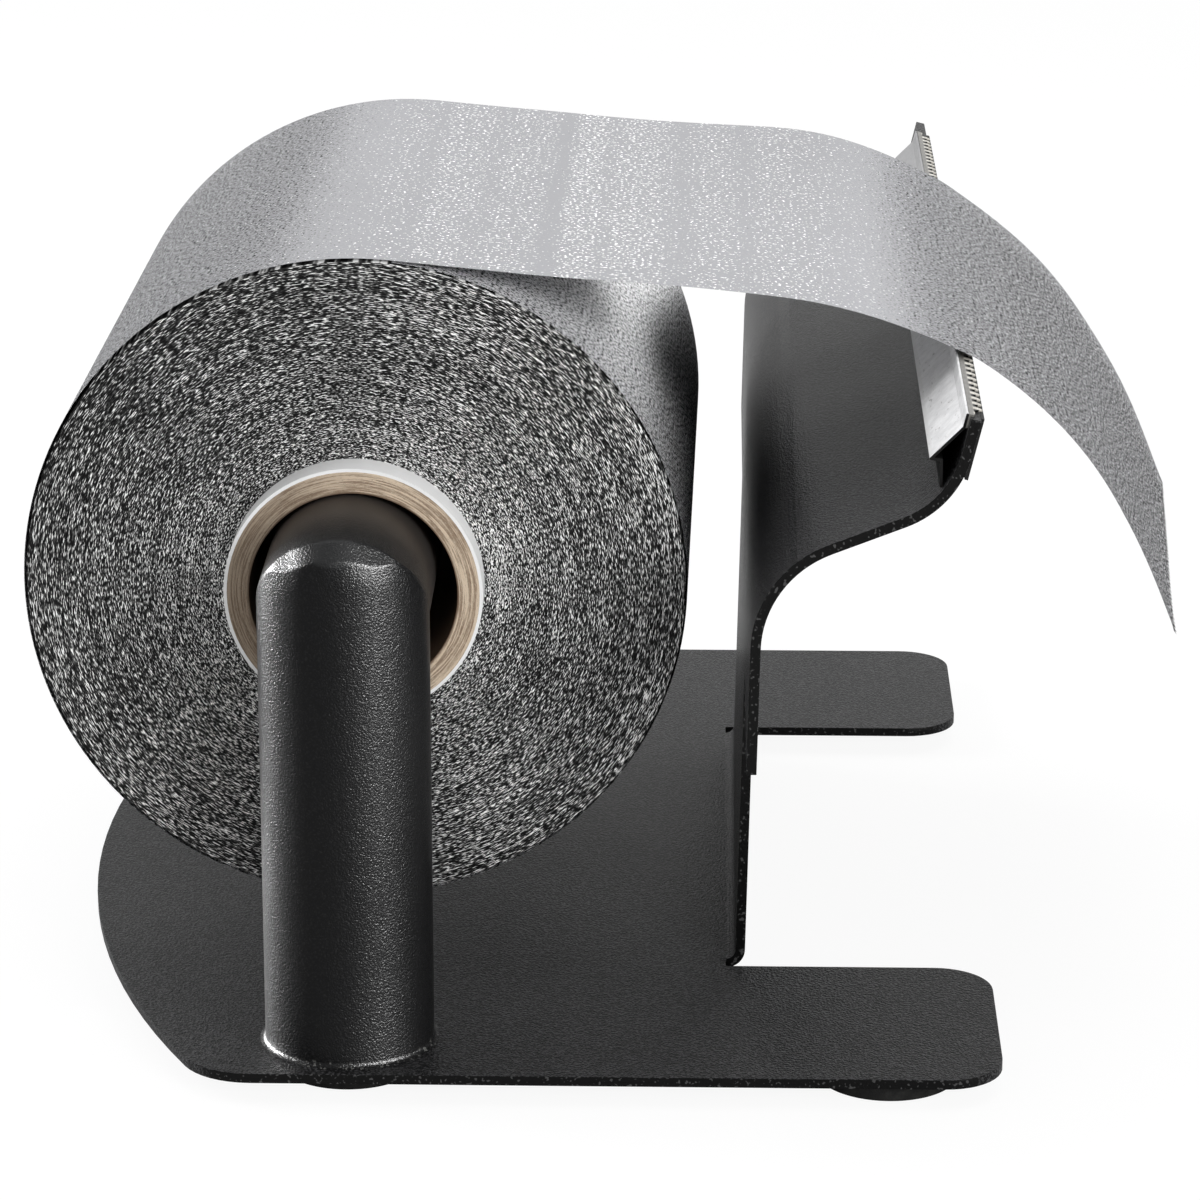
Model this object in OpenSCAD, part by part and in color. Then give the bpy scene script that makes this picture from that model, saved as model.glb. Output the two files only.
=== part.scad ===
// Counter-top dispenser for hair foil: a folded sheet-steel stand, a tube arm
// that carries the foil roll, and a toothed cutter along the stand's upper lip.
// Origin: where the post's axis meets the surface that the stand rests on.
// +X points from the roll to the cutter, +Y along the arm to its free end, +Z up.

/* [Foil roll] */
// Width of the foil
foil_w = 120; // [90:1:130]
// Outer diameter of the wound foil
roll_d = 99.3; // [70:0.1:105]
// Bore of the cardboard core
core_bore_d = 31.2; // [29:0.1:36]
// Wall of the brown cardboard core
core_wall = 3.3; // [2:0.1:5]
// Thickness of the white paper wound round the core
wrap_t = 0.5; // [0.2:0.1:1]
// How far the core sticks out of the foil at each end
core_stick = 5.5; // [3:0.1:8]
// Thickness of the foil web as modelled
web_t = 0.3; // [0.2:0.05:0.6]

/* [Foil web] */
// Slope of the web where it meets the teeth, in degrees
web_cut_angle = 26; // [20:1:30]
// Slope of the web just past the teeth, in degrees
web_fall_angle = 33; // [31:1:42]
// Radius of the web's bend ahead of the teeth
web_front_r = 88; // [75:1:95]
// Radius of the web's bend past the teeth
web_mid_r = 65; // [50:1:75]
// Slope of the web where the tail begins, in degrees
web_tail_angle = 60; // [50:1:68]
// Radius of the tail
web_tail_r = 200; // [150:1:260]
// Length of the tail at the far edge of the web
web_tail_len = 33; // [24:1:40]
// How much longer the far edge is than the near edge
web_slant = 10.5; // [0:0.5:16]

/* [Tube frame] */
// Outer diameter of the post and the arm
tube_d = 25.4; // [22:0.1:28]
// Wall of the tube
tube_wall = 1.5; // [1:0.1:3]
// Height of the arm's axis above the base plate
arm_h = 68.1; // [64:0.1:80]
// Length of the arm from the post's axis to its free end
arm_len = 158; // [150:1:180]
// Flat ground across the mitre at the top of the post
mitre_flat = 2.5; // [0.5:0.1:4]
// Leg of the weld round the foot of the post
weld_leg = 0.8; // [0.4:0.1:2]
// Thickness of the end plug's head
plug_head_t = 2; // [1:0.1:4]
// Length of the end plug's spigot inside the arm
plug_len = 12; // [6:1:20]
// Wall of the end plug's spigot
plug_wall = 1.6; // [1:0.1:3]

/* [Base] */
// Thickness of the sheet steel
sheet = 1.5; // [1:0.1:2.5]
// Depth of the base, along the arm
base_depth = 204.6; // [190:0.1:240]
// Distance from the post's axis to the left edge at its middle
base_left = 47.3; // [42:0.1:60]
// Distance from the post's axis to the fold of the upright
fold_x = 58.1; // [56:0.1:70]
// Distance from the post's axis to the front edge
post_inset = 15.2; // [13:0.1:20]
// Radius of the long curve of the left edge
left_r = 210; // [180:1:300]
// Radius of the two left corners
left_corner_r = 11.5; // [6:0.1:16]
// Width of each prong
prong_w = 44.8; // [30:0.1:55]
// Length of each prong past the fold
prong_len = 39.7; // [30:0.1:55]
// Radius of the prongs' corners
prong_r = 8.8; // [4:0.1:14]
// Width of the relief slot beside the fold
relief_w = 3; // [1.5:0.1:5]
// Diameter of the rubber feet
foot_d = 21.5; // [16:0.1:26]
// Height of the rubber feet
foot_h = 3; // [2.5:0.1:6]
// Radius of the feet's lower rim
foot_rim_r = 0.7; // [0.3:0.1:1.5]
// Distance from the post's axis to the right-hand feet
foot_span = 80.8; // [70:0.1:85]
// Distance from the base's long edges to the centres of the right-hand feet
foot_inset = 12.8; // [12:0.1:20]

/* [Upright] */
// Lean of the upright away from the roll, in degrees
lean = 1.3; // [0:0.1:4]
// Height above the base plate at which the neck widens to the full depth
step_h = 47.4; // [30:0.1:55]
// Length of the straight part between the fold and the first bend
upright_len = 65; // [60:0.5:80]
// Inner radius of the fold
fold_r = 1.5; // [1:0.1:3]
// Inner radius of the first bend
first_bend_r = 15.8; // [10:0.1:20]
// Slope of the shoulder between the two bends, in degrees
shoulder_angle = 21.5; // [12:0.5:35]
// Length of the shoulder
shoulder_len = 11.3; // [6:0.1:18]
// Inner radius of the second bend
second_bend_r = 13.4; // [9:0.1:18]
// Slope of the lip, in degrees
lip_angle = 76.5; // [70:0.5:85]
// Length of the lip past the second bend
lip_len = 5.4; // [4:0.1:9]

/* [Cutter] */
// Length of the rail and the blade
cutter_len = 193; // [150:1:200]
// Bare lip at the front end of the cutter
cutter_inset = 1.5; // [0.5:0.1:3]
// Thickness of the blade strip
blade_t = 0.3; // [0.3:0.1:0.8]
// Length of the blade's leg down the lip
blade_leg = 1.8; // [1:0.1:3]
// Pitch of the teeth
tooth_pitch = 2.8; // [1.5:0.1:4]
// Length of the teeth
tooth_len = 1.3; // [0.8:0.1:2]
// How far the tips stand past the lip's outer face
tooth_reach = 0.35; // [0.1:0.05:0.8]
// Thickness of the rail's metal
rail_t = 0.4; // [0.3:0.1:1]
// Height of the rail's flange beside the blade
rail_flange = 1.8; // [1:0.1:3]
// Slope of the rail's ramp, in degrees
ramp_angle = 45; // [35:0.5:55]
// Length of the rail's ramp
ramp_len = 6.5; // [4:0.1:8]
// Length of the hem turned under the ramp
hem_len = 1.5; // [0.8:0.1:2.5]
// Thickness of the rail's leg
rail_leg_t = 0.4; // [0.3:0.1:0.8]
// Height of the black strip on the lip's outer face
strip_h = 9.2; // [5:0.1:11]
// Thickness of the black strip
strip_t = 0.5; // [0.3:0.1:1]

/* [Fits] */
// Gap where the core hangs on the arm
hang_gap = 0.3; // [0.2:0.05:0.5]
// How far the web's pull draws the roll towards the cutter
hang_x = 0.5; // [0:0.1:1]
// Gap between the core and the post
post_gap = 0.4; // [0.3:0.05:1]
// Gap between the web and the roll or the teeth
web_gap = 0.3; // [0.2:0.05:0.5]
// Clearance between the plug's spigot and the arm
plug_fit = 0.05; // [0.02:0.01:0.2]
// Gap under the rail's leg
seat_gap = 0.04; // [0.02:0.01:0.1]

/* [Hidden] */
$fn = 96;

// Overrun of every cut
over = sheet;
// Flat facets in each bend of the sheet and of the web
facets = 16;

// Heights and places of the stand
plate_top = foot_h + sheet;
front_y = -post_inset;
back_y = front_y + base_depth;
mid_y = front_y + base_depth / 2;
prong_x = fold_x + prong_len;
fold_start = fold_x - fold_r;
gap_w = base_depth - 2 * prong_w;
neck_w = gap_w - 2 * relief_w;

// Places of the tube frame and the roll
tube_r = tube_d / 2;
tube_bore_r = tube_r - tube_wall;
arm_z = plate_top + arm_h;
core_bore_r = core_bore_d / 2;
core_r = core_bore_r + core_wall;
wrap_r = core_r + wrap_t;
roll_r = roll_d / 2;
hang_r = core_bore_r - tube_r - hang_gap;
roll_z = arm_z - sqrt(hang_r * hang_r - hang_x * hang_x);
roll_c = [hang_x, roll_z];
core_y = tube_r + post_gap;
foil_y = core_y + core_stick;
core_len = foil_w + 2 * core_stick;

// Unit vector along a slope in the X-Z plane, and the one a quarter turn to its left
function along(a) = [cos(a), sin(a)];
function left_of(a) = [-sin(a), cos(a)];

// Points of an arc about c from angle a0 to angle a1
function arc(c, r, a0, a1) = [
  for (i = [0:facets]) c + r * along(a0 + (a1 - a0) * i / facets)
];

// The same points from the last to the first
function turned(points) = [
  for (i = [1:len(points)]) points[len(points) - i]
];

// Path of the sheet's roll-side face: the end of each straight part and bend
neck_angle = 90 - lean;
fold_c = [fold_start, plate_top + fold_r];
fold_end = fold_c - fold_r * left_of(neck_angle);
bend1_start = fold_end + upright_len * along(neck_angle);
bend1_r = first_bend_r + sheet;
bend1_c = bend1_start - bend1_r * left_of(neck_angle);
bend1_end = bend1_c + bend1_r * left_of(shoulder_angle);
bend2_start = bend1_end + shoulder_len * along(shoulder_angle);
bend2_c = bend2_start + second_bend_r * left_of(shoulder_angle);
bend2_end = bend2_c - second_bend_r * left_of(lip_angle);
lip_top = bend2_end + lip_len * along(lip_angle);

// Places on the cutter
cutter_y = front_y + cutter_inset;
blade_face = lip_top + blade_t * left_of(lip_angle);
tooth_tip = lip_top - (sheet + tooth_reach) * left_of(lip_angle) + blade_t * along(lip_angle);
rail_line = lip_top + (blade_t + rail_t / 2) * left_of(lip_angle);
rail_top = rail_line + (blade_t - rail_t / 2) * along(lip_angle);
rail_bend = rail_line - rail_flange * along(lip_angle);
rail_rim = rail_bend - ramp_len * along(ramp_angle);
hem_end = rail_rim + [hem_len, -rail_t / 2];
leg_reach = second_bend_r - seat_gap - rail_leg_t / 2;
leg_foot = [hem_end.x, bend2_c.y - sqrt(leg_reach * leg_reach - pow(hem_end.x - bend2_c.x, 2))];

// Path of the web's lower face. Its bend ahead of the teeth and the roll share
// one tangent line, and it passes the tooth tips at the web's gap.
web_cut = tooth_tip + web_gap * left_of(-web_cut_angle);
web_front_c = web_cut - web_front_r * left_of(-web_cut_angle);
web_roll_r = roll_r + web_gap;
web_line = web_front_c - roll_c;
web_line_angle = atan2(web_line.y, web_line.x);
web_slope = web_line_angle + asin((web_front_r - web_roll_r) / norm(web_line));
web_start = roll_c + web_roll_r * left_of(web_slope);
web_bend = web_front_c + web_front_r * left_of(web_slope);
web_mid_c = tooth_tip - (web_mid_r - web_gap) * left_of(-web_fall_angle);
web_mid_end = web_mid_c + web_mid_r * left_of(-web_tail_angle);
web_tail_c = web_mid_end - web_tail_r * left_of(-web_tail_angle);
web_end_angle = web_tail_angle + web_tail_len / web_tail_r * 180 / PI;
web_tip = web_tail_c + web_tail_r * left_of(-web_end_angle);

// Extrudes a profile drawn in the X-Z plane from y0 to y1
module along_y(y0, y1) {
  translate([0, y1, 0])
    rotate([90, 0, 0])
      linear_extrude(y1 - y0)
        children();
}

// Strip of a given thickness centred on the line from p to q, with round ends
module bar(p, q, t) {
  d = q - p;
  translate(p)
    rotate(atan2(d.y, d.x))
      translate([0, -t / 2])
        square([norm(d), t]);
  for (c = [p, q])
    translate(c)
      circle(d = t);
}

// Corner of a rectangle at c, opening along sx and sy, less a fillet of radius r
module corner_waste(c, sx, sy, r) {
  difference() {
    translate([c.x + (sx > 0 ? -over : -r), c.y + (sy > 0 ? -over : -r)])
      square(r + over);
    translate([c.x + sx * r, c.y + sy * r])
      circle(r);
  }
}

// Waste outside the fillet between the left edge's curve and the front edge
module left_corner_waste() {
  arc_c = [left_r - base_left, mid_y];
  fillet_y = front_y + left_corner_r;
  fillet_x = arc_c.x - sqrt(pow(left_r - left_corner_r, 2) - pow(arc_c.y - fillet_y, 2));
  fillet_c = [fillet_x, fillet_y];
  on_arc = arc_c + (fillet_c - arc_c) * left_r / (left_r - left_corner_r);
  outward = [on_arc.x - left_corner_r, on_arc.y];
  difference() {
    polygon([fillet_c, on_arc, outward, [outward.x, front_y - over], [fillet_x, front_y - over]]);
    translate(fillet_c)
      circle(left_corner_r);
  }
}

// Flat outline of the base: curved left edge, two prongs, open between them
module base_outline() {
  difference() {
    intersection() {
      translate([left_r - base_left, mid_y])
        circle(left_r, $fn = 360);
      translate([-base_left - over, front_y])
        square([base_left + over + prong_x, base_depth]);
    }
    translate([fold_start, mid_y - gap_w / 2])
      square([fold_r + prong_len + over, gap_w]);
    left_corner_waste();
    translate([0, 2 * mid_y])
      mirror([0, 1])
        left_corner_waste();
    for (y = [front_y, mid_y + gap_w / 2])
      corner_waste([prong_x, y], -1, 1, prong_r);
    for (y = [back_y, mid_y - gap_w / 2])
      corner_waste([prong_x, y], -1, -1, prong_r);
  }
}

// One face of the fold, the upright and the lip, at depth t behind the roll-side face
function upright_face(t) = concat(
  [[fold_start - sheet, plate_top - t]],
  arc(fold_c, fold_r + t, -90, -90 + neck_angle),
  arc(bend1_c, bend1_r - t, 90 + neck_angle, 90 + shoulder_angle),
  arc(bend2_c, second_bend_r + t, -90 + shoulder_angle, -90 + lip_angle),
  [lip_top - t * left_of(lip_angle)]
);

// Folded stand: base plate, neck, wide panel, shoulder and lip in one sheet
module stand_plate() {
  side_w = (base_depth - neck_w) / 2;
  color("#303033") {
    translate([0, 0, foot_h])
      linear_extrude(sheet)
        base_outline();
    difference() {
      along_y(front_y, back_y)
        polygon(concat(upright_face(0), turned(upright_face(sheet))));
      for (y = [front_y - over, back_y - side_w])
        translate([fold_start - 2 * sheet, y, foot_h - over])
          cube([upright_len, side_w + over, over + sheet + step_h]);
    }
  }
}

// Everything above the mitre plane, or below it, with the flat ground off the corner
module mitre_side(above) {
  reach = arm_len + arm_z;
  intersection() {
    children();
    translate([0, 0, arm_z])
      rotate([-45, 0, 0])
        translate([-reach, -reach, above ? 0 : -2 * reach])
          cube(2 * reach);
    translate([0, -tube_r, arm_z + tube_r - mitre_flat])
      rotate([45, 0, 0])
        translate([-reach, -reach, -2 * reach])
          cube(2 * reach);
  }
}

// Upright tube, mitred at the top and welded to the base
module post_tube() {
  color("#242426") {
    mitre_side(false)
      difference() {
        translate([0, 0, plate_top])
          cylinder(r = tube_r, h = arm_h + tube_r + over);
        translate([0, 0, plate_top - over])
          cylinder(r = tube_bore_r, h = arm_h + tube_r + 3 * over);
      }
    translate([0, 0, plate_top])
      rotate_extrude()
        translate([tube_r, 0])
          difference() {
            square(weld_leg);
            translate([weld_leg, weld_leg])
              circle(weld_leg);
          }
  }
}

// Horizontal tube that carries the roll
module arm_tube() {
  color("#242426")
    mitre_side(true)
      translate([0, 0, arm_z])
        rotate([-90, 0, 0])
          difference() {
            translate([0, 0, -tube_r - over])
              cylinder(r = tube_r, h = arm_len + tube_r + over);
            translate([0, 0, -tube_r - 2 * over])
              cylinder(r = tube_bore_r, h = arm_len + tube_r + 4 * over);
          }
}

// Plastic plug pushed into the arm's free end
module arm_end_plug() {
  spigot_r = tube_bore_r - plug_fit;
  rim_r = plug_head_t / 2;
  color("#1c1c1e")
    translate([0, arm_len, arm_z])
      rotate([-90, 0, 0]) {
        rotate_extrude() {
          square([tube_r - rim_r, plug_head_t]);
          square([tube_r, plug_head_t - rim_r]);
          translate([tube_r - rim_r, plug_head_t - rim_r])
            circle(rim_r);
        }
        translate([0, 0, -plug_len])
          difference() {
            cylinder(r = spigot_r, h = plug_len);
            translate([0, 0, -over])
              cylinder(r = spigot_r - plug_wall, h = plug_len + over - plug_wall);
          }
      }
}

// Round rubber foot with a softened lower rim
module foot(x, y) {
  color("#19191a")
    translate([x, y, 0])
      rotate_extrude() {
        translate([0, foot_rim_r])
          square([foot_d / 2, foot_h - foot_rim_r]);
        square([foot_d / 2 - foot_rim_r, foot_h]);
        translate([foot_d / 2 - foot_rim_r, foot_rim_r])
          circle(foot_rim_r);
      }
}

module foot_front_left() {
  foot(0, 0);
}

module foot_front_right() {
  foot(foot_span, front_y + foot_inset);
}

module foot_back_left() {
  foot(0, back_y - post_inset);
}

module foot_back_right() {
  foot(foot_span, back_y - foot_inset);
}

// Metal rail: a ramp up to the teeth, its rim hemmed under, on a thin leg
module cutter_rail() {
  color("#c6c7ca")
    along_y(cutter_y, cutter_y + cutter_len) {
      bar(rail_top, rail_bend, rail_t);
      bar(rail_bend, rail_rim, rail_t);
      bar(rail_rim, hem_end, rail_t);
      bar(hem_end, leg_foot, rail_leg_t);
    }
}

// Steel strip folded over the lip's edge, its outer leg cut into teeth
module toothed_blade() {
  leg_w = sheet + blade_t + tooth_reach;
  root = leg_w - tooth_len;
  teeth = floor(cutter_len / tooth_pitch) - 1;
  start = (cutter_len - teeth * tooth_pitch) / 2;
  color("#dcdcd8")
    translate([blade_face.x, cutter_y, blade_face.y])
      rotate([0, 90 - lip_angle, 0]) {
        translate([0, 0, -blade_leg])
          cube([blade_t, cutter_len, blade_leg + blade_t]);
        linear_extrude(blade_t)
          polygon([
            [0, 0],
            [root, 0],
            for (i = [0:teeth - 1]) each [
              [root, start + i * tooth_pitch],
              [leg_w, start + (i + 1 / 2) * tooth_pitch]
            ],
            [root, start + teeth * tooth_pitch],
            [root, cutter_len],
            [0, cutter_len]
          ]);
      }
}

// Black strip along the lip's outer face
module lip_strip() {
  outer = lip_top - sheet * left_of(lip_angle);
  color("#111112")
    translate([outer.x, cutter_y, outer.y])
      rotate([0, 90 - lip_angle, 0])
        translate([0, 0, -strip_h])
          cube([strip_t, cutter_len, strip_h]);
}

// Ring about the roll's axis
module roll_ring(r_in, r_out, y, len) {
  translate([roll_c.x, y, roll_c.y])
    rotate([-90, 0, 0])
      difference() {
        cylinder(r = r_out, h = len);
        translate([0, 0, -over])
          cylinder(r = r_in, h = len + 2 * over);
      }
}

module cardboard_core() {
  color("#a98a6a")
    roll_ring(core_bore_r, core_r, core_y, core_len);
}

module core_wrap() {
  color("#f1f0ee")
    roll_ring(core_r, wrap_r, core_y, core_len);
}

module foil_winding() {
  color("#8c8d90")
    roll_ring(wrap_r, roll_r, foil_y, foil_w);
}

// One face of the web, at height t above its lower face
function web_face(t) = concat(
  [web_start + t * left_of(web_slope)],
  arc(web_front_c, web_front_r + t, 90 + web_slope, 90 - web_cut_angle),
  arc(web_mid_c, web_mid_r + t, 90 - web_fall_angle, 90 - web_tail_angle),
  arc(web_tail_c, web_tail_r + t, 90 - web_tail_angle, 90 - web_end_angle)
);

// Foil from the roll's top over the teeth, hanging past them, cut off at a slant
module foil_web() {
  color("#b9bbbf")
    difference() {
      along_y(foil_y, foil_y + foil_w)
        polygon(concat(web_face(0), turned(web_face(web_t))));
      translate([web_tip.x, foil_y + foil_w, web_tip.y])
        rotate([0, web_end_angle, 0])
          rotate([0, 0, -atan(web_slant / foil_w)])
            translate([0, -2 * foil_w, -foil_w / 2])
              cube([foil_w, 3 * foil_w, foil_w]);
    }
}

stand_plate();
post_tube();
arm_tube();
arm_end_plug();
foot_front_left();
foot_front_right();
foot_back_left();
foot_back_right();
cutter_rail();
toothed_blade();
lip_strip();
cardboard_core();
core_wrap();
foil_winding();
foil_web();
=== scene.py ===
import math
import random

import bpy
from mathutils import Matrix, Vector


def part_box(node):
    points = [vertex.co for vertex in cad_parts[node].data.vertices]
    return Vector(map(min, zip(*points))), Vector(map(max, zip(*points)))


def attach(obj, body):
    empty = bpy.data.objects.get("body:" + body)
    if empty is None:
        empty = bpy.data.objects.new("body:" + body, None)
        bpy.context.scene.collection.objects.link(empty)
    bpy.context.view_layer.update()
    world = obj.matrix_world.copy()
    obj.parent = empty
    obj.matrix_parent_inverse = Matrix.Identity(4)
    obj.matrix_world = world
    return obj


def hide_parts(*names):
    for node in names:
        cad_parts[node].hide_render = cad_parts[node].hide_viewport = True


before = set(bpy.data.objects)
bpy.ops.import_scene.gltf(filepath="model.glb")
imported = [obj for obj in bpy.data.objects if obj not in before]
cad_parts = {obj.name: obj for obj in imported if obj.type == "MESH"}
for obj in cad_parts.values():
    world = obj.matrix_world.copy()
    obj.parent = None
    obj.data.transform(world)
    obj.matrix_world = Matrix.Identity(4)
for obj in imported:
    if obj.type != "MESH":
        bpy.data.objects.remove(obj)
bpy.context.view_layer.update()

# ---------------------------------------------------------------- camera
# The photograph is taken from slightly above with a long lens, along the roll's axis
# and a little to the right of it. The frame is square.

scene = bpy.context.scene
scene.view_settings.view_transform = "Standard"
camera = bpy.data.objects.new("camera", bpy.data.cameras.new("camera"))
camera.data.lens = 145.46
camera.data.sensor_width = 36
camera.data.clip_start = 0.05
tilt, turned_left = 90 - 17.411, 1.39
camera.location = (0.05407, -0.67626, 0.28563)
camera.rotation_euler = (math.radians(tilt), 0, math.radians(turned_left))
scene.collection.objects.link(camera)
scene.camera = camera

# ---------------------------------------------------------------- table and light
# A pale table without an edge, a white room and three soft boxes. Two strips show only
# as gloss, on the tubes and the loose foil. A low box behind the roll lights the loose
# foil alone, because the web shades its right side.


class Tone:
    """A number, colour or vector on its way through a finish. Its sums and products add nodes."""

    def __init__(self, finish, socket):
        self.finish, self.socket = finish, socket

    def math(self, operation, *values):
        inputs = dict(enumerate(values))
        return self.finish.node("ShaderNodeMath", {"operation": operation}, inputs)

    def __add__(self, other):
        return self.math("ADD", self, other)

    def __sub__(self, other):
        return self.math("SUBTRACT", self, other)

    def __rsub__(self, other):
        return self.math("SUBTRACT", other, self)

    def __mul__(self, other):
        return self.math("MULTIPLY", self, other)

    def __truediv__(self, other):
        return self.math("DIVIDE", self, other)

    __radd__, __rmul__ = __add__, __mul__

    def above(self, low, high):
        """0 under low, 1 over high, and a smooth rise between."""
        inputs = {"Value": self, "From Min": low, "From Max": high}
        return self.finish.node("ShaderNodeMapRange", {"interpolation_type": "SMOOTHSTEP"}, inputs)

    def ramp(self, stops):
        return self.finish.node("ShaderNodeValToRGB", {"stops": stops}, {"Fac": self})

    def part(self, axis):
        return self.finish.node("ShaderNodeSeparateXYZ", {}, {0: self}, out=axis)


class Finish:
    """A material with one shader. node() adds any node, and its inputs take numbers or tones."""

    def __init__(self, name):
        self.material = bpy.data.materials.new(name)
        self.material.use_nodes = True
        self.tree = self.material.node_tree
        self.shader = self.tree.nodes["Principled BSDF"]
        self.place = self.node("ShaderNodeTexCoord", out="Object")

    def node(self, kind, settings={}, inputs={}, out=0):
        made = self.tree.nodes.new(kind)
        for name, value in settings.items():
            if name == "stops":
                bands = made.color_ramp.elements
                for _ in value[2:]:
                    bands.new(0.5)
                for band, (at, colour) in zip(bands, value):
                    band.position = at
                    band.color = (*colour, 1)
            else:
                setattr(made, name, value)
        self.feed(made, inputs)
        return Tone(self, made.outputs[out])

    def feed(self, made, inputs):
        for name, value in inputs.items():
            if isinstance(value, Tone):
                self.tree.links.new(value.socket, made.inputs[name])
            elif isinstance(value, tuple) and made.inputs[name].type == "RGBA":
                made.inputs[name].default_value = (*value, 1)
            else:
                made.inputs[name].default_value = value

    def mix(self, share, first, second):
        inputs = {"Factor": share, 6: first, 7: second}
        return self.node("ShaderNodeMix", {"data_type": "RGBA"}, inputs, out=2)

    def noise(self, scale, detail=2, rough=0.5, at=None, size="3D"):
        inputs = {"Scale": scale, "Detail": detail, "Roughness": rough, "Vector": at or self.place}
        return self.node("ShaderNodeTexNoise", {"noise_dimensions": size}, inputs)

    def vector(self, operation, first, second):
        return self.node("ShaderNodeVectorMath", {"operation": operation}, {0: first, 1: second})

    def bump(self, height, depth):
        return self.node("ShaderNodeBump", {}, {"Height": height, "Distance": depth, "Strength": 1})

    def shade(self, inputs):
        self.feed(self.shader, inputs)


class Room(Finish):
    """The white room round the table. Its nodes are the world's."""

    def __init__(self, world):
        world.use_nodes = True
        self.tree = world.node_tree
        self.shader = self.tree.nodes["Background"]


lit_middle = Vector((0.03, 0.08, 0.06))


def soft_box(name, place, size, power):
    """A square lamp that faces the roll."""
    lamp = bpy.data.lights.new(name, "AREA")
    lamp.size, lamp.energy = size, power
    box = bpy.data.objects.new(name, lamp)
    box.location = place
    box.rotation_euler = (lit_middle - box.location).to_track_quat("-Z", "Y").to_euler()
    scene.collection.objects.link(box)
    return box


soft_box("overhead_box", (0.15, 0.25, 1.0), 0.8, 4.5)
soft_box("front_right_box", (0.60, -0.72, 0.40), 0.3, 5)
soft_box("left_box", (-0.80, 0.36, 0.40), 0.4, 5)

strip_lit = bpy.data.collections.new("strip_lit")
right_strip = soft_box("right_strip", (0.76, -0.60, 0.38), 0.25, 150)
left_strip = soft_box("left_strip", (-0.80, 0.52, 0.12), 0.35, 125)
for box in (right_strip, left_strip):
    box.visible_diffuse = False
    box.light_linking.receiver_collection = strip_lit

low_lit = bpy.data.collections.new("low_lit")
low_box = soft_box("low_back_box", (0.36, 0.68, 0.12), 0.15, 3.8)
low_box.light_linking.receiver_collection = low_lit

room_light = 0.42
scene.world = bpy.data.worlds.new("room")
room = Room(scene.world)
camera_ray, glossy_ray, clear_ray = (room.node("ShaderNodeLightPath", out=f"Is {kind} Ray")
                                     for kind in ("Camera", "Glossy", "Transmission"))
seen = camera_ray.math("MAXIMUM", camera_ray, glossy_ray)
seen = seen.math("MAXIMUM", seen, clear_ray)
room_level = room.node("ShaderNodeMapRange", {}, {"Value": seen, "To Min": room_light, "To Max": 1})
room.shade({"Color": (1, 1, 1), "Strength": room_level})

table = Finish("pale_table")
table.shade({"Base Color": (0.86, 0.86, 0.86), "Roughness": 0.9, "Specular IOR Level": 0.1})
bright = table.node("ShaderNodeEmission", {}, {"Color": (1.0, 1.0, 1.0), "Strength": 1.04})
camera_sees = table.node("ShaderNodeLightPath", out="Is Camera Ray")
lit_table = Tone(table, table.shader.outputs[0])
bright_share = 0.88
table_look = table.node("ShaderNodeMixShader", {}, {0: camera_sees * bright_share, 1: lit_table, 2: bright})
table.feed(table.tree.nodes["Material Output"], {"Surface": table_look})
reach, table_z = 4, -0.0002
table_mesh = bpy.data.meshes.new("table_top")
table_mesh.from_pydata([(x * reach, y * reach, table_z) for x, y in ((-1, -1), (1, -1), (1, 1), (-1, 1))],
                       [], [(0, 1, 2, 3)])
table_mesh.materials.append(table.material)
table_top = bpy.data.objects.new("table_top", table_mesh)
scene.collection.objects.link(table_top)

# ---------------------------------------------------------------- folded stand
# One laser-cut steel sheet, folded up at the neck and rolled over to the lip, then
# powder coated in a matte black that dries to a fine leathery grain.


def leather_grain(coat, scale):
    """Height of the coat's wrinkles, 0 to 1."""
    swirl = coat.noise(scale * 0.8, 1, 0.5)
    wrinkle = coat.noise(scale, 2, 0.55)
    return wrinkle * 0.75 + swirl * 0.25


def dress(node, material, edge=0.0):
    """Gives a CAD node its finish, and a fine round on its edges where edge is set."""
    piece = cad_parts[node]
    piece.data.materials.clear()
    piece.data.materials.append(material)
    if edge:
        weld = piece.modifiers.new("weld", "WELD")
        weld.merge_threshold = 0.000005
        round_over = piece.modifiers.new("edge", "BEVEL")
        round_over.width = edge
        round_over.segments = 2
        round_over.limit_method = "ANGLE"
        round_over.angle_limit = math.radians(35)


sheet_coat = Finish("stand_coat")
sheet_grain = leather_grain(sheet_coat, 2600)
sheet_cloud = sheet_coat.noise(28, 3)
sheet_tone = sheet_coat.mix(sheet_cloud, (0.004, 0.004, 0.0044), (0.007, 0.007, 0.0074))
# The grain's crests are painted lighter than the coat: a painted highlight on the wrinkles.
sheet_tone = sheet_coat.mix(sheet_grain.above(0.49, 0.58), sheet_tone, (0.050, 0.050, 0.052))
# Faces turned to the near end, the sheet's cut edges, are painted near black as shade, with painted glints along
# them.
facing = sheet_coat.node("ShaderNodeNewGeometry", out="True Normal").part(1)
cut_edge = (0 - facing).above(0.7, 0.9)
edge_painted_glints = sheet_coat.noise(1700, 1).above(0.62, 0.68)
edge_painted_shade_and_glints = sheet_coat.mix(edge_painted_glints, (0.003, 0.003, 0.003), (0.060, 0.060, 0.060))
sheet_tone = sheet_coat.mix(cut_edge, sheet_tone, edge_painted_shade_and_glints)
sheet_coat.shade({"Base Color": sheet_tone, "Roughness": 0.30 + sheet_cloud * 0.10, "Specular IOR Level": 0.10,
                  "Normal": sheet_coat.bump(sheet_grain * (1 - cut_edge * 0.75), 0.00040)})
dress("stand_plate", sheet_coat.material, 0.00025)

# ---------------------------------------------------------------- post and arm
# One inch steel tube, mitred, welded and ground flush, then coated with the stand.
# The arm runs back into the roll's core, and the post is welded to the base.

MM = 0.001


def smooth(t):
    t = min(1, max(0, t))
    return t * t * (3 - 2 * t)


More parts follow.
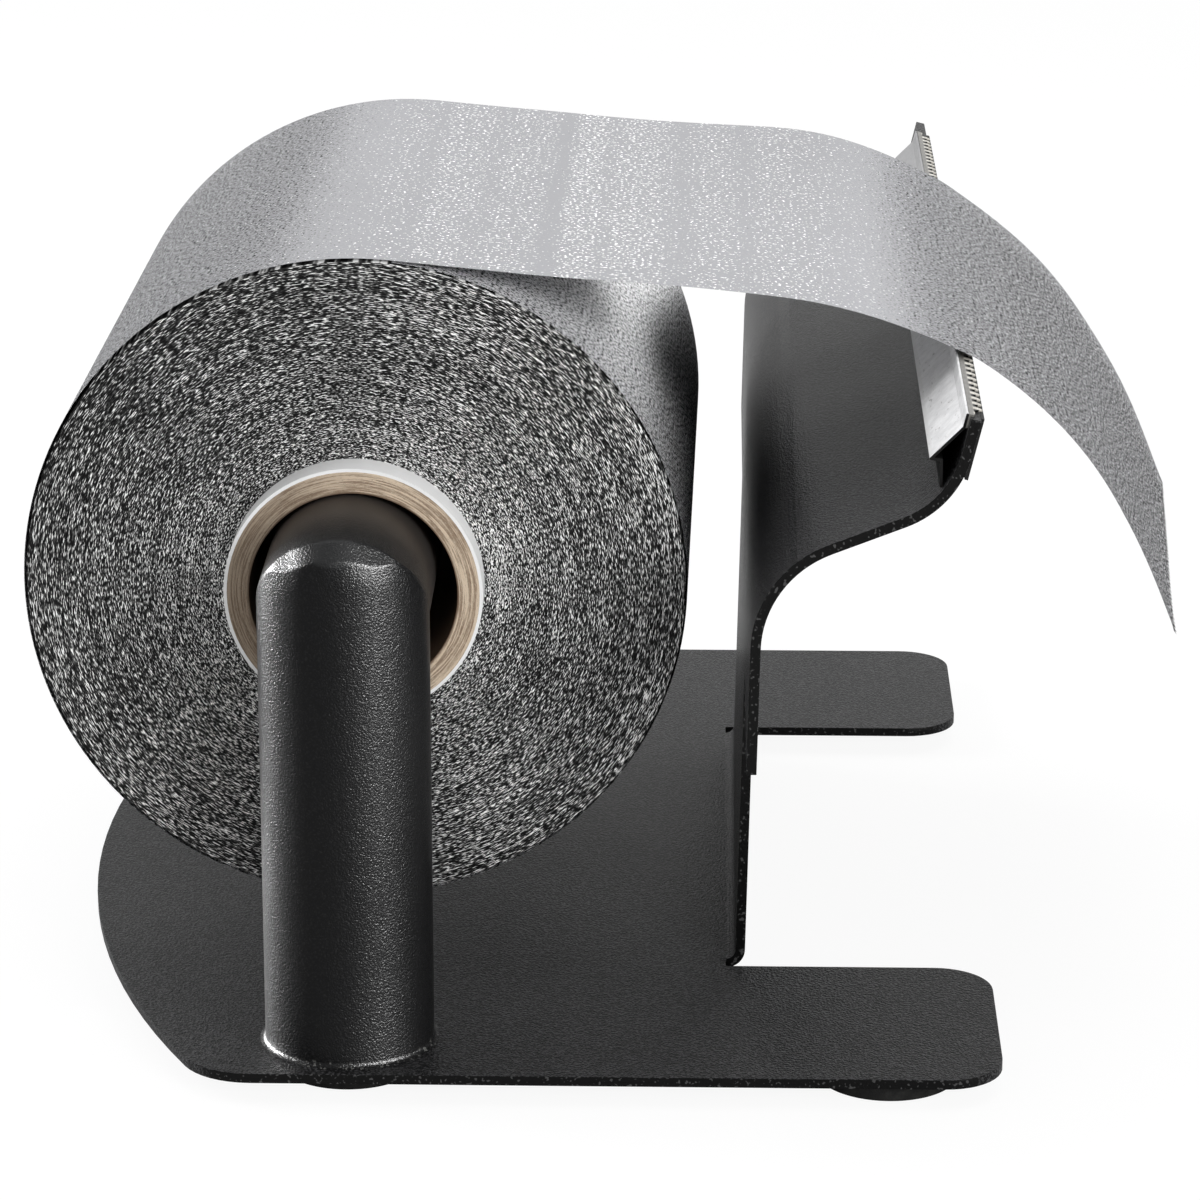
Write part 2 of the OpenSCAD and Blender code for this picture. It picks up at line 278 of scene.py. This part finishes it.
def grid_piece(name, rows, material, body, closed=False, uvs=None):
    """A smooth mesh through rows of points. closed joins each row's two ends."""
    width = len(rows[0])
    points = [p for row in rows for p in row]
    span = width if closed else width - 1
    faces = []
    for i in range(len(rows) - 1):
        for j in range(span):
            a, b = i * width + j, i * width + (j + 1) % width
            faces.append((a, b, b + width, a + width))
    mesh = bpy.data.meshes.new(name)
    mesh.from_pydata(points, [], faces)
    mesh.materials.append(material)
    mesh.shade_smooth()
    if uvs:
        layer = mesh.uv_layers.new(name="flat")
        flat = [uv for row in uvs for uv in row]
        for loop in mesh.loops:
            layer.data[loop.index].uv = flat[loop.vertex_index]
    piece = bpy.data.objects.new(name, mesh)
    scene.collection.objects.link(piece)
    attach(piece, body)
    return piece


post_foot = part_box("post_tube")[0][2]
arm_low, arm_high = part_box("arm_tube")
tube_r = (arm_high[0] - arm_low[0]) / 2
arm_z = arm_high[2] - tube_r
around = 144
weld_leg, weld_steps = 0.8 * MM, 6
# The corner is ground down most on the outside of the bend, a little off its middle.
least_ground, most_ground = 0.45 * MM, 2.5 * MM
ground_turn, ground_from, ground_rise = 0.09, 0.66, 0.24
beside_corner = 0.25 * MM

generators = []
for k in range(around):
    turn = 2 * math.pi * k / around
    x, y = tube_r * math.sin(turn), -tube_r * math.cos(turn)
    outside = smooth((math.cos(turn + ground_turn) - ground_from) / ground_rise)
    soft = least_ground + (most_ground - least_ground) * outside
    corner = arm_z - y
    line = []
    for step in range(weld_steps + 1):
        lift = step / weld_steps
        flare = weld_leg * (1 - math.sqrt(1 - (1 - lift) ** 2))
        scale = (tube_r + flare) / tube_r
        line.append((x * scale, y * scale, post_foot + lift * weld_leg))
    below = corner - soft - post_foot - weld_leg
    for share in (0.25, 0.5, 0.75, 0.95):
        line.append((x, y, post_foot + weld_leg + below * share))
    line.append((x, y, corner - soft - beside_corner))
    for t in (0.06, 0.12, 0.3, 0.5, 0.7, 0.88, 0.94):
        line.append((x, y + soft * t, corner - soft * (1 - t)))
    line.append((x, y + soft + beside_corner, corner))
    run = arm_high[1] - y - soft
    for share in (0.05, 0.3, 0.6, 1):
        line.append((x, y + soft + run * share, corner))
    generators.append(line)
tube_rows = [[line[i] for line in generators] for i in range(len(generators[0]))]

tube_coat = Finish("tube_coat")
tube_grain = leather_grain(tube_coat, 3500)
tube_cloud = tube_coat.noise(40, 2)
forward, height = tube_coat.place.part(1), tube_coat.place.part(2)
on_arm = forward.above(-0.004, 0.008) * height.above(arm_z - 2 * tube_r, arm_z - tube_r)
ground_edge = arm_z + 2 * tube_r - most_ground
ground = (height - forward).above(ground_edge - 1.2 * MM, ground_edge - 0.5 * MM)
in_weld = 1 - height.above(post_foot + 0.5 * MM, post_foot + 1.1 * MM)
# The arm is painted a lighter, warmer grey than the coat: painted light from the core round it.
arm_painted_light = tube_coat.mix(tube_cloud, (0.022, 0.019, 0.017), (0.036, 0.031, 0.028))
# The grain's crests are painted lighter than the coat: a painted highlight on the wrinkles.
tube_tone = tube_coat.mix(tube_grain.above(0.50, 0.66), (0.0022, 0.0022, 0.0025), (0.009, 0.009, 0.0095))
# The ground band at the corner is painted lighter: a painted highlight on its flat.
tube_tone = tube_coat.mix(ground * 0.35, tube_tone, (0.040, 0.041, 0.042))
tube_tone = tube_coat.mix(on_arm, tube_tone, arm_painted_light)
# Bright specks on the weld at the post's foot are painted glints.
weld_painted_glints = tube_coat.noise(1500, 1).above(0.58, 0.66)
tube_tone = tube_coat.mix(in_weld * weld_painted_glints, tube_tone, (0.10, 0.10, 0.095))
tube_coat.shade({"Base Color": tube_tone, "Roughness": 0.31 + tube_cloud * 0.08, "Specular IOR Level": 0.10,
                 "Normal": tube_coat.bump(tube_grain * (1 - on_arm * 0.9), 0.00015)})
tube_frame = grid_piece("tube_frame", tube_rows, tube_coat.material, "stand", closed=True)
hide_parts("post_tube", "arm_tube")
strip_lit.objects.link(tube_frame)

# ---------------------------------------------------------------- end plug
# A moulded plastic plug that closes the arm's free end. It is pressed in, and its
# skin is satin black.

plug = Finish("plug_plastic")
plug_grain = plug.noise(5000, 2)
plug.shade({"Base Color": plug.mix(plug_grain, (0.012, 0.012, 0.012), (0.024, 0.024, 0.024)),
            "Roughness": 0.5 + plug_grain * 0.1, "Normal": plug.bump(plug_grain, 0.00002)})
dress("arm_end_plug", plug.material)

# ---------------------------------------------------------------- feet
# Four black rubber discs, glued under the base. They are matte, and dusty from the
# counter.

rubber = Finish("foot_rubber")
rubber_dust = rubber.noise(260, 4, 0.7)
rubber_tone = rubber.mix(rubber_dust.above(0.35, 0.8), (0.010, 0.010, 0.010), (0.032, 0.032, 0.030))
rubber.shade({"Base Color": rubber_tone, "Roughness": 0.72 + rubber_dust * 0.15, "Specular IOR Level": 0.2,
              "Normal": rubber.bump(rubber.noise(3800, 3, 0.7), 0.00006)})
for foot in ("foot_front_left", "foot_front_right", "foot_back_left", "foot_back_right"):
    dress(foot, rubber.material)

# ---------------------------------------------------------------- cutter rail
# A rolled metal rail: a ramp that leads the foil up to the teeth. It is brushed along
# its length and smudged by use. Its underside and its thin leg on the lip are black.

rail_low, rail_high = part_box("cutter_rail")
rail = Finish("rail_metal")
across_rail, along_rail, up_rail = (rail.place.part(axis) for axis in range(3))
brushed = rail.noise(1, 3, 0.6, rail.vector("MULTIPLY", rail.place, (5200, 90, 5200)))
smudge = rail.noise(420, 5, 0.7)
wear = rail.noise(1, 4, 0.65, rail.vector("MULTIPLY", rail.place, (1300, 420, 1300)))
rail_tone = rail.mix(smudge.above(0.35, 0.70), (0.78, 0.78, 0.79), (0.93, 0.93, 0.94))
rail_tone = rail.mix(wear.above(0.60, 0.70) * 0.5, rail_tone, (0.22, 0.20, 0.19))
# Towards its far end, under the web, the ramp is painted darker and less metallic: painted shade.
far_painted_shade = along_rail.above(rail_low[1] + 40 * MM, rail_high[1])
rail_tone = rail.mix(far_painted_shade * 0.75, rail_tone, (0.16, 0.16, 0.165))
# A light line is painted along the ramp's rounded rim, also across the darkened far part: a painted highlight.
rim = 1 - across_rail.above(rail_low[0] + 0.35 * MM, rail_low[0] + 0.6 * MM)
rail_tone = rail.mix(rim * 0.7, rail_tone, (0.78, 0.78, 0.78))
# The ramp rises at 45 degrees from its rim. Only its upper face is bare metal; its near end face is painted dark as
# shade.
rim_z = 99.155 * MM
bare = (up_rail - rim_z - across_rail + rail_low[0]).above(-0.16 * MM, -0.06 * MM)
near_end_painted_shade = 1 - along_rail.above(rail_low[1], rail_low[1] + 0.06 * MM)
shown = bare * (1 - near_end_painted_shade)
rail_tone = rail.mix(shown, (0.007, 0.007, 0.007), rail_tone)
rail.shade({"Base Color": rail_tone, "Metallic": shown * (0.28 - far_painted_shade * 0.18),
            "Roughness": 0.42 + smudge * 0.2, "Specular IOR Level": 0.1,
            "Normal": rail.bump(brushed + wear * 0.6, 0.00002)})
dress("cutter_rail", rail.material)

# ---------------------------------------------------------------- toothed blade
# A thin steel strip folded over the lip. Its outer edge is punched into teeth, pale on
# their tips; their flanks and the strip below them are painted dark as shade.

blade_low, blade_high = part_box("toothed_blade")
pitch, whole_pitches = 2.8 * MM, 67
blade = Finish("blade_steel")
blade_grain = blade.noise(1, 3, 0.6, blade.vector("MULTIPLY", blade.place, (3000, 700, 3000)))
blade_tone = blade.mix(blade_grain.above(0.3, 0.7), (0.50, 0.47, 0.42), (0.80, 0.78, 0.71))
tooth_start = (blade_high[1] - blade_low[1] - whole_pitches * pitch) / 2 + blade_low[1]
turns = (blade.place.part(1) - tooth_start) / pitch
tooth_phase = turns.math("FRACT", turns)
off_centre = (tooth_phase - 0.5).math("ABSOLUTE", tooth_phase - 0.5)
in_teeth = blade.place.part(0).above(blade_high[0] - 1.5 * MM, blade_high[0] - 1.3 * MM)
# The teeth's flanks are painted near black and the strip below the teeth dark grey: painted shade in the gaps and
# under the teeth.
blade_tone = blade.mix(off_centre.above(0.18, 0.26) * in_teeth, blade_tone, (0.010, 0.010, 0.009))
blade_tone = blade.mix((1 - in_teeth) * 0.75, blade_tone, (0.08, 0.08, 0.08))
blade.shade({"Base Color": blade_tone, "Metallic": 0.6, "Roughness": 0.36, "Specular IOR Level": 0.2,
             "Normal": blade.bump(blade_grain, 0.00002)})
dress("toothed_blade", blade.material)

# ---------------------------------------------------------------- lip strip
# A thin black plastic strip on the lip's outer face, behind the teeth. It is stuck on
# and has a matte skin.

strip = Finish("strip_plastic")
strip_grain = strip.noise(2600, 2, 0.6)
strip.shade({"Base Color": strip.mix(strip_grain, (0.004, 0.004, 0.004), (0.012, 0.012, 0.012)),
             "Roughness": 0.55, "Specular IOR Level": 0.2, "Normal": strip.bump(strip_grain, 0.00005)})
dress("lip_strip", strip.material)

# ---------------------------------------------------------------- cardboard core
# A tube wound from plies of brown board, sawn to length: its end shows the plies and
# torn fibres.

core_low, core_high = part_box("cardboard_core")
core_r = (core_high[0] - core_low[0]) / 2
roll_x = (core_high[0] + core_low[0]) / 2
roll_z = (core_high[2] + core_low[2]) / 2


def round_the_axis(finish):
    """Distance from the roll's axis, and the direction from it."""
    flat = finish.vector("MULTIPLY", finish.vector("SUBTRACT", finish.place, (roll_x, 0, roll_z)), (1, 0, 1))
    radius = finish.node("ShaderNodeVectorMath", {"operation": "LENGTH"}, {0: flat}, out="Value")
    heading = finish.node("ShaderNodeVectorMath", {"operation": "NORMALIZE"}, {0: flat})
    return radius, heading


def ringed(finish, radius, heading, turns, rings):
    """A texture place stretched along the rings, without a seam."""
    inputs = {"X": heading.part(0) * turns, "Y": radius * rings, "Z": heading.part(2) * turns}
    return finish.node("ShaderNodeCombineXYZ", {}, inputs)


board = Finish("core_board")
radius, heading = round_the_axis(board)
plies = board.noise(1, 2, 0.6, ringed(board, radius, heading, 2.5, 4200))
fibres = board.noise(1, 4, 0.75, ringed(board, radius, heading, 30, 7500))
board_tone = board.mix(plies.above(0.38, 0.60), (0.32, 0.23, 0.16), (0.76, 0.62, 0.47))
board_tone = board.mix(fibres.above(0.52, 0.66) * 0.65, board_tone, (0.72, 0.62, 0.50))
board_tone = board.mix((1 - fibres.above(0.34, 0.46)) * 0.5, board_tone, (0.16, 0.11, 0.075))
# More than 3 mm in from its outside, towards and in the bore, the board is painted dark: painted shade.
clear_of_bore_shade = radius.above(core_r - 3.3 * MM, core_r - 2.9 * MM)
board_tone = board.mix(clear_of_bore_shade, (0.14, 0.09, 0.06), board_tone)
# The end face's left side is painted darker: painted shade.
right_side = heading.part(0).above(-1.0, 0.3)
board_tone = board.mix(right_side, board.mix(0.55, board_tone, (0.10, 0.075, 0.055)), board_tone)
board.shade({"Base Color": board_tone, "Roughness": 0.9, "Specular IOR Level": 0.15,
             "Normal": board.bump(plies * 0.4 + fibres, 0.00012)})
dress("cardboard_core", board.material)

# ---------------------------------------------------------------- white wrap
# Smooth white paper, wound once round the core before the foil. Its cut edge shows as
# a bright ring.

paper = Finish("core_paper")
paper_grain = paper.noise(900, 3, 0.6)
paper.shade({"Base Color": paper.mix(paper_grain, (0.92, 0.92, 0.92), (0.97, 0.97, 0.97)),
             "Roughness": 0.6, "Normal": paper.bump(paper_grain, 0.00003)})
dress("core_wrap", paper.material)

# ---------------------------------------------------------------- wound foil
# About a hundred metres of embossed aluminium foil. Its end face shows the foil's cut
# edges, with painted shade in the gaps and short painted glints round the roll. It is wound
# a little tighter at its far end, so that it turns clear of the outermost turn.

wound_low, wound_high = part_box("foil_winding")
wound_r = (wound_high[0] - wound_low[0]) / 2
near_face, far_face = wound_low[1], wound_high[1]
foil_w = far_face - near_face
inner_r = core_r + 0.5 * MM
rim_gap, taper = 0.1 * MM, 1.3 * MM
uneven, ripple = 0.10 * MM, 0.05 * MM
ring_count, ring_steps = 76, 240
chance = random.Random(11)

wound = Finish("foil_wound")
radius, heading = round_the_axis(wound)
streak = wound.noise(1, 1, 0.5, ringed(wound, radius, heading, 48, 7800))
layer = wound.noise(1, 2, 0.6, ringed(wound, radius, heading, 1.6, 2900))
patch = wound.noise(42, 3, 0.6)
# Towards the core, the upper right and the bottom the end face is painted lighter: painted light.
near_core = 1 - radius.above(core_r, core_r + 14 * MM)
upper_right = (heading.part(0) + heading.part(2)).above(0.7, 1.4)
streaks_and_painted_light = streak + (layer - 0.5) * 0.22 + (patch - 0.5) * 0.08 - heading.part(2) * 0.010 + 0.008
streaks_and_painted_light = streaks_and_painted_light + near_core * 0.022 + upper_right * 0.022
wound_tone = streaks_and_painted_light.ramp([(0.41, (0.002, 0.002, 0.002)), (0.50, (0.022, 0.022, 0.022)),
                       (0.56, (0.065, 0.065, 0.065)), (0.61, (0.28, 0.28, 0.275)), (0.66, (0.98, 0.98, 0.97))])
wound.shade({"Base Color": wound_tone, "Metallic": 0.1, "Roughness": 0.5, "Specular IOR Level": 0.1,
             "Normal": wound.bump(streaks_and_painted_light, 0.00010)})


def wound_ring(share, y, proud):
    """A ring of the winding, from its bore (share 0) to its rim (share 1), up to proud off the face at y."""
    r = inner_r + (wound_r - rim_gap - inner_r - taper * (y - near_face) / foil_w) * share
    out = proud * chance.random()
    wave = 2 * math.pi * chance.random()
    ring = []
    for k in range(ring_steps):
        a = 2 * math.pi * k / ring_steps
        ring.append((roll_x + r * math.cos(a), y + out + ripple * math.sin(3 * a + wave), roll_z + r * math.sin(a)))
    return ring


near_rings = [wound_ring(i / ring_count, near_face, uneven) for i in range(ring_count + 1)]
far_rings = [wound_ring(i / ring_count, far_face, -uneven) for i in range(ring_count + 1)]
wound_foil = grid_piece("wound_foil", near_rings + far_rings[::-1], wound.material, "roll", closed=True)
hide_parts("foil_winding")

# ---------------------------------------------------------------- loose foil
# The outermost turn and the loose end, embossed all over with fine pips. It leaves the
# roll's top, runs over the teeth and hangs, and the blade has torn its end to points.

web_gap = 0.3 * MM
tooth_tip = Vector((92.291, 105.244)) * MM
cut_angle, fall_angle, tail_angle, last_sweep = (math.radians(a) for a in (26, 33, 60, 40))
front_r, mid_r, tail_r = 88 * MM, 65 * MM, 200 * MM
over_teeth = 1.0 * MM
near_hang, far_hang = 54.4 * MM, 67.4 * MM
bite, point_curl = 1.3 * MM, 0.45 * MM


def left_of(angle):
    return Vector((-math.sin(angle), math.cos(angle)))


def heading_of(angle):
    return Vector((math.cos(angle), math.sin(angle)))


# The side view of the web, in x and z: a straight run off the roll, then four arcs.
roll_c = Vector((roll_x, roll_z))
front_c = tooth_tip + (web_gap - front_r) * left_of(-cut_angle)
to_front = front_c - roll_c
slope = (math.atan2(to_front.y, to_front.x)
         + math.asin((front_r - wound_r - web_gap) / to_front.length))
lift_off = roll_c + (wound_r + web_gap) * left_of(slope)
straight = (front_c + front_r * left_of(slope) - lift_off).length
to_teeth = straight + front_r * (slope + cut_angle)
near_end, far_end = to_teeth + near_hang, to_teeth + far_hang
turn_length = 2 * math.pi * wound_r - 1 * MM
pieces = [("line", straight, 0), ("arc", front_r, slope + cut_angle),
          ("arc", over_teeth / (fall_angle - cut_angle), fall_angle - cut_angle),
          ("arc", mid_r, tail_angle - fall_angle), ("arc", tail_r, last_sweep)]


def web_place(s):
    """Where the web's lower face is at s along it from where it leaves the roll, and its slope."""
    if s < 0:
        turned = -s / wound_r
        angle = slope + turned
        lift = 0.9 * web_gap * (1 - turned / (2 * math.pi))
        return roll_c + (wound_r + lift) * left_of(angle), angle
    at, angle = lift_off.copy(), slope
    for kind, size, sweep in pieces:
        length = size if kind == "line" else size * sweep
        run = min(s, length)
        if kind == "line":
            at += run * heading_of(angle)
        else:
            centre = at - size * left_of(angle)
            angle -= run / size
            at = centre + size * left_of(angle)
        s -= run
        if s <= 0:
            break
    return at, angle


def hump(s, middle, width):
    """A soft swell round middle, in millimetres along the web."""
    return math.exp(-((s / MM - middle) / width) ** 2)


def stand_off(s, across):
    """How far the foil stands off its path: it bellies before the teeth and curls out past them."""
    off = 0.12 * MM
    if s > 0:
        past = s - to_teeth
        near_belly, far_belly = 0.75 * MM * hump(s, 52, 22), 1.2 * MM * hump(s, 66, 16)
        near_curl = 0.3 * MM * hump(past, 25, 12) - 0.7 * MM * smooth((past - 35 * MM) / (22 * MM))
        far_curl = 3.3 * MM * across ** 1.3 * smooth(past / (52 * MM))
        waves = 0.05 * MM * math.sin(2 * math.pi * (s / 0.031 + 0.7 * across)) * smooth(s / 0.03)
        off += (near_belly + near_curl) * (1 - across) + far_belly * across + far_curl + waves
    return off


turn_rows, web_rows, tail_rows, columns = 150, 96, 14, 172
web_share = 0.96
# The outermost turn lies skewed on the roll: its far edge is shifted by this much.
skew, skew_fade = Vector((1.1 * MM, -0.6 * MM)), 0.05
lengthways = [-turn_length + turn_length * i / turn_rows for i in range(turn_rows)]
lengthways += [near_end * web_share * i / web_rows for i in range(web_rows + 1)]
foil_rows, foil_flats = [], []
for i in range(len(lengthways) + tail_rows):
    row, flat = [], []
    for j in range(columns + 1):
        across = j / columns
        y = near_face + foil_w * across
        curl = 0
        if i < len(lengthways):
            s = lengthways[i]
        else:
            torn = near_end + (far_end - near_end) * across
            saw = abs((y / pitch) % 1 - 0.5) * 2
            share = (i - len(lengthways) + 1) / tail_rows
            s = lengthways[-1] + (torn - bite * saw - lengthways[-1]) * share
            curl = point_curl * (0.5 - saw) * share ** 6
        at, angle = web_place(s)
        at = at + (stand_off(s, across) + curl) * left_of(angle) + across * (1 - smooth(s / skew_fade)) * skew
        row.append((at.x, y, at.y))
        flat.append((s + turn_length, y - near_face))
    foil_rows.append(row)
    foil_flats.append(flat)

foil = Finish("foil_sheet")
flat_place = foil.node("ShaderNodeUVMap", {"uv_map": "flat"})
lengthwise, widthwise = flat_place.part(0), flat_place.part(1)
pips = foil.noise(1, 1, 0.6, foil.vector("MULTIPLY", flat_place, (1600, 2200, 1)), "2D")
fine_pips = foil.noise(1, 1, 0.5, foil.vector("MULTIPLY", flat_place, (1900, 2800, 1)), "2D")
glints = foil.noise(1650, 1, 0.5, foil.vector("ADD", flat_place, (3, 7, 0)), "2D")
drift = foil.noise(14, 2, 0.5, flat_place, "2D")

# How much painted shade the foil takes, as dark pips and a darker tone, round the roll in
# quarter turns before it leaves it, then along the web to the torn end. It thickens where
# the foil turns away from the light.
whole = turn_length + far_end
quarter = wound_r * math.pi / 2
dark_round = [(-3.95, 0.38), (-3.70, 0.38), (-3.55, 0.42), (-3.42, 0.52), (-3.28, 0.74), (-3.05, 0.84), (-2.2, 0.80),
              (-1.3, 0.66), (-0.9, 0.62), (-0.5, 0.54), (-0.3, 0.42), (-0.16, 0.18)]
dark_web = [(0, 0.0), (0.80 * to_teeth, 0.06), (to_teeth, 0.48), (to_teeth + 14 * MM, 0.75),
            (to_teeth + 40 * MM, 0.90), (far_end, 0.94)]
painted_shade_share = [(q * quarter, share) for q, share in dark_round] + dark_web
turned_away_shade = (lengthwise / whole).ramp([((s + turn_length) / whole, (v, v, v)) for s, v in painted_shade_share])

# How thick the painted glints lie on the level web as white flecks: bands across it, in
# millimetres from where it leaves the roll.
glint_band_share = [(-8, 0), (-1, 0.6), (2, 0.3), (4, 0.8), (10, 0.7), (12.3, 0.35), (15, 0.75), (21, 0.6), (22.8, 0.0),
               (24, 0.1), (25.5, 1.0), (30, 0.9), (31.3, 0.5), (33, 0.9), (40, 0.75), (43.5, 0.2), (46.5, 0.7),
               (51, 0.6), (53.5, 0.25), (56, 0.65), (62, 0.6), (68, 0.3), (75, 0)]
glint_lead, glint_span = 10, 90
glint_place = (lengthwise - turn_length + glint_lead * MM) / (glint_span * MM)
painted_glint_bands = glint_place.ramp([((s + glint_lead) / glint_span, (v, v, v)) for s, v in glint_band_share])

margin = widthwise.above(foil_w * 0.86, foil_w)
plain = 1 - turned_away_shade.above(0.02, 0.30)
# Just under the web the foil is painted lighter as light, and further round the roll's side darker as shade.
side_painted_shade = 1 - lengthwise.above(70 * MM, 100 * MM)
painted_light_under_web = 1 - lengthwise.above(46 * MM, 68 * MM)
darkness = pips + (turned_away_shade - 1) * 0.22 - margin * turned_away_shade * 0.07 - plain * 0.15 + side_painted_shade * 0.07
painted_shade_pips = darkness.above(0.455, 0.495)
# Pale pips on the turned-away foil are painted glints.
painted_light_pips = fine_pips.above(0.51, 0.57) * turned_away_shade
painted_glint_pips = (glints + painted_glint_bands * 0.12).above(0.745, 0.785)
foil_tone = foil.mix(drift, (0.312, 0.314, 0.326), (0.346, 0.348, 0.362))
# Where it turns away the foil is painted darker: painted shade.
foil_tone = foil.mix(turned_away_shade * 0.9, foil_tone, (0.20, 0.20, 0.204))
foil_tone = foil.mix(side_painted_shade * 0.9, foil_tone, (0.19, 0.19, 0.195))
foil_tone = foil.mix(painted_light_under_web, foil_tone, (0.60, 0.60, 0.61))
foil_tone = foil.mix(painted_light_pips * 0.75, foil_tone, (0.72, 0.72, 0.73))
foil_tone = foil.mix(painted_shade_pips, foil_tone, (0.028, 0.028, 0.029))
foil_tone = foil.mix(painted_glint_pips, foil_tone, (0.98, 0.98, 0.98))
shine = (1 - turned_away_shade.above(0.05, 0.40)) * 0.35 + painted_light_under_web * 0.25
foil.shade({"Base Color": foil_tone, "Metallic": shine, "Roughness": 0.45, "Specular IOR Level": 0,
            "Normal": foil.bump(pips + fine_pips * 0.4, 0.00008)})
loose_foil = grid_piece("loose_foil", foil_rows, foil.material, "web", uvs=foil_flats)
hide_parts("foil_web")
strip_lit.objects.link(loose_foil)
low_lit.objects.link(loose_foil)
mean_length = turn_length + (near_end + far_end) / 2 - bite / 2
